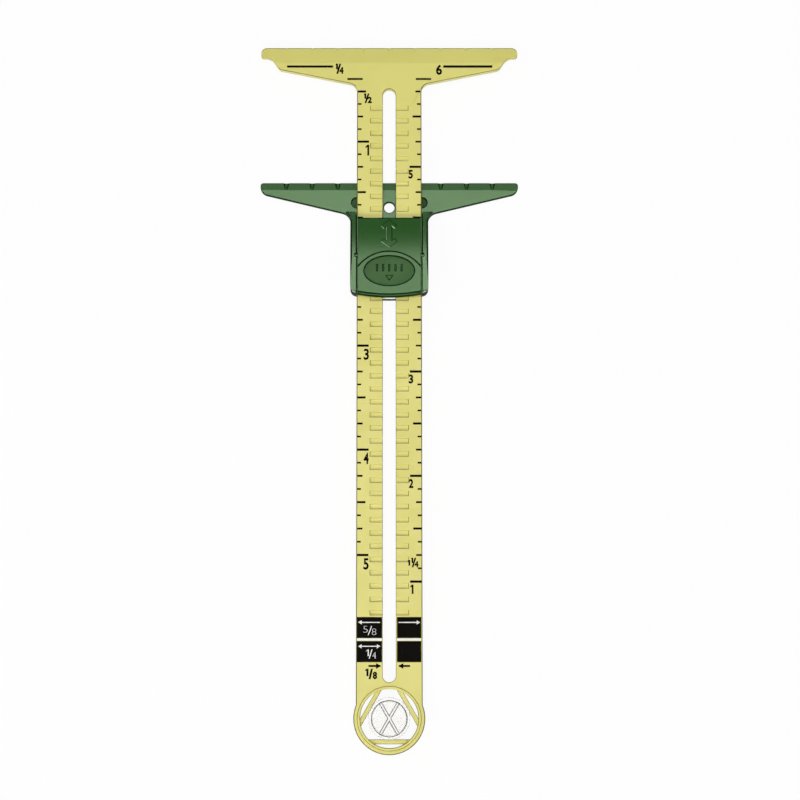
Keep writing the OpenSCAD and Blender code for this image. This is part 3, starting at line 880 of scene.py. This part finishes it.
def width_labels(bm):
    """White arrows and fractions on the black blocks, and the white strips between the blocks."""
    for left, right in BLOCK_SPANS:
        ink_block(bm, left, right, BLOCK_TOPS[1] + STRIP_GAP, BLOCK_TOPS[0] - BLOCK_DEEP - STRIP_GAP)
    y = BLOCK_TOPS[0] - SHAFT_ARROWS_BELOW
    ink_arrow(bm, -7.35, -2.2, y, heads=LEFT_HEAD, **WHITE_ARROW)
    ink_arrow(bm, 2.2, 7.3, y, **WHITE_ARROW)
    box = (-6.2, y - 0.85, 3.1, 2.15)
    ink_fraction(bm, "5", "8", box, stroke=0.22, fullness=-0.025, layout=OPEN_LAYOUT, level=1)
    y = BLOCK_TOPS[1] - LEG_ARROW_BELOW
    ink_arrow(bm, -7.35, -2.2, y, heads=BOTH_HEADS, **WHITE_ARROW)
    box = (-5.8, y - 0.75, 2.65, 2.15)
    ink_fraction(bm, "1", "4", box, stroke=0.24, fullness=-0.015, layout=OPEN_LAYOUT, level=1)


def bar_print():
    """All black ink as one piece, and all white ink as another."""
    black = bmesh.new()
    for marks in (scale_marks, scale_figures, head_marks, width_blocks):
        marks(black)
    add_piece("scale_print", black, black_ink, "bar", "yellow_plastic")
    white = bmesh.new()
    width_labels(white)
    add_piece("width_labels", white, white_ink, "bar", "yellow_plastic")


# The slider
def join_node(bm, node):
    """Adds a CAD node to the mesh it stands on, as one moulding without the faces where they meet."""
    mesh = bpy.data.meshes.new(node)
    bm.to_mesh(mesh)
    base = bpy.data.objects.new(node, mesh)
    other = node_copy(node)
    tool_mesh = bpy.data.meshes.new(node)
    other.to_mesh(tool_mesh)
    other.free()
    tool = bpy.data.objects.new(node, tool_mesh)
    for holder in (base, tool):
        bpy.context.scene.collection.objects.link(holder)
    union = base.modifiers.new("union", "BOOLEAN")
    union.operation = "UNION"
    union.solver = "EXACT"
    union.object = tool
    joined = bpy.data.meshes.new_from_object(base.evaluated_get(bpy.context.evaluated_depsgraph_get()))
    bm.clear()
    bm.from_mesh(joined)
    for holder in (base, tool):
        bpy.data.objects.remove(holder)
    for spare in (mesh, tool_mesh, joined):
        bpy.data.meshes.remove(spare)
    bmesh.ops.remove_doubles(bm, verts=bm.verts, dist=MERGE * MM)


# Length of the slider's lower part, which is no wider than its rails, and the height above the plate
# from which an edge or a face belongs to a rail
STEM_LONG = 5
RAIL_ABOVE = 1
# Floors of the plate's hollows: how far above its back and below its front they are, and how far past the rails
HOLLOW_ABOVE = 0.2
HOLLOW_BELOW = 0.5
HOLLOW_PAST = 1
# Parts of a face's direction on the rails' noses from which they are glossy and painted pale as a highlight:
# towards their end, and up
GLOSS_HIGHLIGHT_FORWARD = 0.2
GLOSS_HIGHLIGHT_UP = 0.6


def slider():
    """Plate and rails as one moulding; the rails' lower ends and outer shoulders are the roundest."""
    bm = node_copy("slider_plate")
    for rail in ("left_rail", "right_rail"):
        join_node(bm, rail)
    join_flats(bm)
    outside = max(abs(v.co.x) for v in bm.verts if v.co.y < plate_low.y * MM + STEM_LONG * MM)

    def weight(edge):
        on_rail = all(v.co.z > (plate_high.z + RAIL_ABOVE) * MM for v in edge.verts)
        if on_rail and edge.calc_length() < TIGHT * MM:
            return 0.0
        if on_rail and all(abs(v.co.x) > outside - MERGE * MM for v in edge.verts):
            return RAIL_ROUND / NOSE_ROUND
        near_end = all(v.co.y < (plate_low.y + END_DEEP) * MM for v in edge.verts)
        upright = min(face.normal.y for face in edge.link_faces) < -LEVEL
        if near_end and upright and max(face.normal.z for face in edge.link_faces) > LEVEL:
            return 1.0
        in_band = edge.verts[0].co.y > (plate_high.y - END_DEEP) * MM
        notch = in_band and all(face.normal.z > UPWARD for face in edge.link_faces)
        return (FINE_ROUND if notch else SLIDER_ROUND) / NOSE_ROUND

    weigh_edges(bm, weight)
    plate = add_piece("slider", bm, green_plastic, "slider", "green_plastic",
                      "slider_plate", "left_rail", "right_rail")
    round_edges(plate, NOSE_ROUND)
    settle_shading(plate, (plate_high.z + RAIL_ABOVE, lever_high.z))
    # The slider's rims are painted dark as shade
    plain_rims(plate, green_painted_edge_shade)
    plate.data.materials.append(green_matt_recess_shade)
    plate.data.materials.append(green_gloss_painted_highlight)
    for face in plate.data.polygons:
        place = face.center / MM
        # The hollows' floors take the matt finish, which also stands in for their shade
        sunk = HOLLOW_ABOVE < place.z < plate_high.z - HOLLOW_BELOW
        if sunk and abs(place.x) < outside / MM + HOLLOW_PAST and face.normal.z > RIM_LEAN:
            face.material_index = MATT
        if place.y > plate_high.y - END_DEEP and face.normal.z > BAND_LEAN:
            face.material_index = MAIN
        # The noses' faces that turn to the light are glossy and painted pale as a highlight
        on_nose = place.y < plate_low.y + END_DEEP and face.normal.y < -GLOSS_HIGHLIGHT_FORWARD
        if on_nose and face.normal.z > GLOSS_HIGHLIGHT_UP:
            face.material_index = BRIGHT


# The lever and its spring
# How far below the lever's top its full width is still found, in rises of the pad, and how deep the dish goes
WIDTH_DEEP = 1.3
DISH_DEEP = 1
# Heights above the lever's lowest point: of its teeth and feet, and of the lowest faces of the arch
FEET_HIGH = 1
ARCH_ABOVE = 1.1
# Reach beyond which an edge of the pad is its outline and not the dish's rim
PAD_OUTLINE = 1.2
# Slope at the pad's end: least part of its direction towards the lever's end
PAD_END_SLOPE = 0.5
# The arrow on the lever: its gap from the dish, its inset from the lever's far end, and how far a face of it
# has to turn to the lit side to be painted pale as a highlight
ARROW_GAP = 2
ARROW_INSET = 0.5
HIGHLIGHT_LEAN = 0.3


def dish_reach(point):
    """Distance from the dish's middle, squared, in its half axes: 1 on the dish's rim."""
    return (point.x / DISH_HALF[0]) ** 2 + ((point.y - DISH_Y) / DISH_HALF[1]) ** 2


def lever():
    """Lock lever: softly rounded outline and pad, crisper arrows and ribs, rims painted dark as shade, the
    arrow's lit edges painted pale as a highlight, and a matt dish whose finish also stands in for its shade.
    """
    bm = node_copy("lock_lever")
    join_flats(bm)
    top = lever_high.z
    side = max(abs(v.co.x) for v in bm.verts if v.co.z > (top - WIDTH_DEEP * PAD_RISE) * MM) / MM

    def weight(edge):
        point = (edge.verts[0].co + edge.verts[1].co) / 2 / MM
        if point.z < lever_low.z + FEET_HIGH or abs(point.x) > side - MERGE:
            return FINE_ROUND / PAD_ROUND
        if max(v.co.z for v in edge.verts) / MM > top - MERGE:
            return 1.0 if dish_reach(point) > PAD_OUTLINE else LEVER_ROUND / PAD_ROUND
        return (LEVER_ROUND if point.y > lever_high.y - MERGE else RELIEF_ROUND) / PAD_ROUND

    weigh_edges(bm, weight)
    piece = add_piece("lever", bm, green_lever, "lever", "green_plastic", "lock_lever")
    round_edges(piece, PAD_ROUND)
    settle_shading(piece, (lever_low.z + ARCH_ABOVE, top - PAD_RISE / 2))
    # The lever's rims are painted dark as shade
    plain_rims(piece, green_painted_edge_shade)
    piece.data.materials.append(green_matt_recess_shade)
    piece.data.materials.append(green_painted_highlight)
    arrow_low, arrow_high = DISH_Y + DISH_HALF[1] + ARROW_GAP, lever_high.y - ARROW_INSET
    for face in piece.data.polygons:
        place = face.center / MM
        # The dish's floor takes the matt finish, which also stands in for its shade
        in_dish = dish_reach(place) < 1 and top - DISH_DEEP < place.z < top - LEVER_ROUND / 2
        if in_dish and face.material_index == MAIN:
            face.material_index = MATT
        if face.normal.y < -PAD_END_SLOPE and PAD_END_LEAN[0] < face.normal.z < PAD_END_LEAN[1]:
            face.material_index = MAIN
        # The arrow's edges that face the light are painted pale as a highlight
        arrow = abs(place.x) < ARROW_HALF and arrow_low < place.y < arrow_high
        if arrow and face.material_index == RIM and face.normal.dot(HIGHLIGHT_SIDE) > HIGHLIGHT_LEAN:
            face.material_index = BRIGHT


def spring():
    """Spring tongue between the lever and the plate, on no body, with its place baked into its mesh."""
    bm = node_copy("lever_spring")
    weigh_edges(bm, lambda edge: 0.0)
    tongue = add_piece("spring_tongue", bm, green_plastic, None, "green_plastic", "lever_spring")
    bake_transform(tongue)


# The button
# Width of its flange, and the height up to which its ribs and their ends reach
FLANGE_WIDE = 1.2
RIBS_HIGH = 1.5


def button():
    """Clear button: its crossed ribs at the back have soft edges that show through it as lines, darkened by
    painted shade, and its disc's rim is painted dark as shade.
    """
    bm = node_copy("anchor_button")
    join_flats(bm)
    low, high = (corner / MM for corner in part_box("anchor_button"))
    middle = (low + high) / 2

    def weight(edge):
        point = (edge.verts[0].co + edge.verts[1].co) / 2 / MM
        reach = hypot(point.x - middle.x, point.y - middle.y)
        if point.z > high.z - MERGE:
            return 1.0
        rib = reach < (high.x - low.x) / 2 - FLANGE_WIDE and point.z < RIBS_HIGH
        return (RIB_ROUND if rib else BUTTON_ROUND) / FACE_EDGE_ROUND

    weigh_edges(bm, weight)
    piece = add_piece("clear_button", bm, clear_plastic, "anchor", "clear_plastic", "anchor_button")
    round_edges(piece, FACE_EDGE_ROUND)
    piece.data.materials.append(clear_flange)
    piece.data.materials.append(clear_edge_painted_shade)
    for face in piece.data.polygons:
        place = face.center / MM
        if hypot(place.x - middle.x, place.y - middle.y) > FACE_RADIUS:
            face.material_index = FLANGE
        # The front disc's rim is painted dark as shade
        elif abs(face.normal.z) < RIM_LEAN:
            face.material_index = DISC_EDGE


gauge_bar()
bar_print()
slider()
lever()
spring()
button()


# Table, light and camera, in metres
STAGE_SIDES = 64
TABLE_RADIUS = 6.0
TABLE_BELOW = 0.02 * MM
BACKDROP_RADIUS = 5.0
BACKDROP_HIGH = 1.2
# Softboxes: lean off the vertical and compass turn in degrees, sides, radiance and distance
LAMPS = {
    "overhead": (0, 0, (0.5, 0.75), 4.5, 1.2),
    "back": (46, 0, (0.8, 0.35), 0.95, 1.2),
    "key": (48, 180, (1.8, 0.45), 7.0, 2.2),
    "glint": (50, 140, (0.12, 0.12), 25, 1.2),
    "left": (55, 90, (0.3, 0.6), 4.0, 1.2),
    "right": (55, -90, (0.7, 0.6), 0.6, 1.2),
}
ROOM_LIGHT = 0.15
CAMERA_DISTANCE = 0.5
CAMERA_TILT = radians(7.48)
CAMERA_TARGET = Vector((0, 0, 0.003))


def stage_piece(name, bm, share, tone):
    """Surface that reads white to the camera for this share, and takes the object's shadow for the rest."""
    mesh = bpy.data.meshes.new(name)
    bm.to_mesh(mesh)
    bm.free()
    piece = bpy.data.objects.new(name, mesh)
    bpy.context.scene.collection.objects.link(piece)
    material = bpy.data.materials.new("white_" + name)
    material.use_nodes = True
    tree = material.node_tree
    tree.nodes.clear()
    path = add(tree, "LightPath")
    seen = math_node(tree, "ADD", path.outputs["Is Camera Ray"], path.outputs["Is Glossy Ray"])
    seen = math_node(tree, "ADD", seen, path.outputs["Is Transmission Ray"], clamp=True)
    blend = add(tree, "MixShader")
    tree.links.new(math_node(tree, "MULTIPLY", seen, share), blend.inputs[0])
    tree.links.new(add(tree, "BsdfDiffuse", Color=(tone, tone, tone, 1)).outputs[0], blend.inputs[1])
    tree.links.new(add(tree, "Emission", Color=(1, 1, 1, 1), Strength=1.0).outputs[0], blend.inputs[2])
    tree.links.new(blend.outputs[0], add(tree, "OutputMaterial").inputs["Surface"])
    mesh.materials.append(material)


def white_stage():
    """Round table just under the gauge, and a round backdrop about it."""
    table = bmesh.new()
    bmesh.ops.create_circle(table, cap_ends=True, segments=STAGE_SIDES, radius=TABLE_RADIUS)
    bmesh.ops.translate(table, verts=table.verts, vec=(0, 0, -TABLE_BELOW))
    stage_piece("table", table, share=0.92, tone=0.95)
    backdrop = bmesh.new()
    bmesh.ops.create_cone(backdrop, segments=STAGE_SIDES, radius1=BACKDROP_RADIUS, radius2=BACKDROP_RADIUS,
                          depth=BACKDROP_HIGH, matrix=Matrix.Translation((0, 0, BACKDROP_HIGH / 2)))
    stage_piece("backdrop", backdrop, share=1.0, tone=0.5)


def softbox(name, lean, turn, size, radiance, distance):
    """Rectangular lamp that faces the gauge from this lean off the vertical, towards the compass turn."""
    lamp = bpy.data.lights.new(name, "AREA")
    lamp.shape = "RECTANGLE"
    lamp.size, lamp.size_y = size
    lamp.energy = radiance * pi * size[0] * size[1]
    holder = bpy.data.objects.new(name, lamp)
    matrix = Matrix.Rotation(radians(turn), 4, "Z") @ Matrix.Rotation(radians(-lean), 4, "X")
    holder.matrix_world = matrix @ Matrix.Translation((0, 0, distance))
    bpy.context.scene.collection.objects.link(holder)


def studio_light():
    """Dim room with softboxes above, past both ends and at both sides, and a small one for the glints."""
    world = bpy.data.worlds.new("studio")
    bpy.context.scene.world = world
    world.use_nodes = True
    fill = world.node_tree.nodes["Background"]
    fill.inputs["Color"].default_value = (1, 1, 1, 1)
    fill.inputs["Strength"].default_value = ROOM_LIGHT
    for name, values in LAMPS.items():
        softbox(name, *values)


def camera():
    """Camera at the photograph's angle: nearly overhead, a little towards the ring's end."""
    data = bpy.data.cameras.new("camera")
    data.sensor_width = 36
    data.lens = 92.8
    data.shift_x = 0.0134
    data.shift_y = -0.0084
    data.clip_start = 0.01
    data.clip_end = 20
    eye = bpy.data.objects.new("camera", data)
    eye.location = CAMERA_TARGET + CAMERA_DISTANCE * Vector((0, -sin(CAMERA_TILT), cos(CAMERA_TILT)))
    eye.rotation_euler = (CAMERA_TILT, 0, 0)
    bpy.context.scene.collection.objects.link(eye)
    bpy.context.scene.camera = eye


white_stage()
studio_light()
camera()
bpy.context.scene.view_settings.view_transform = "Standard"
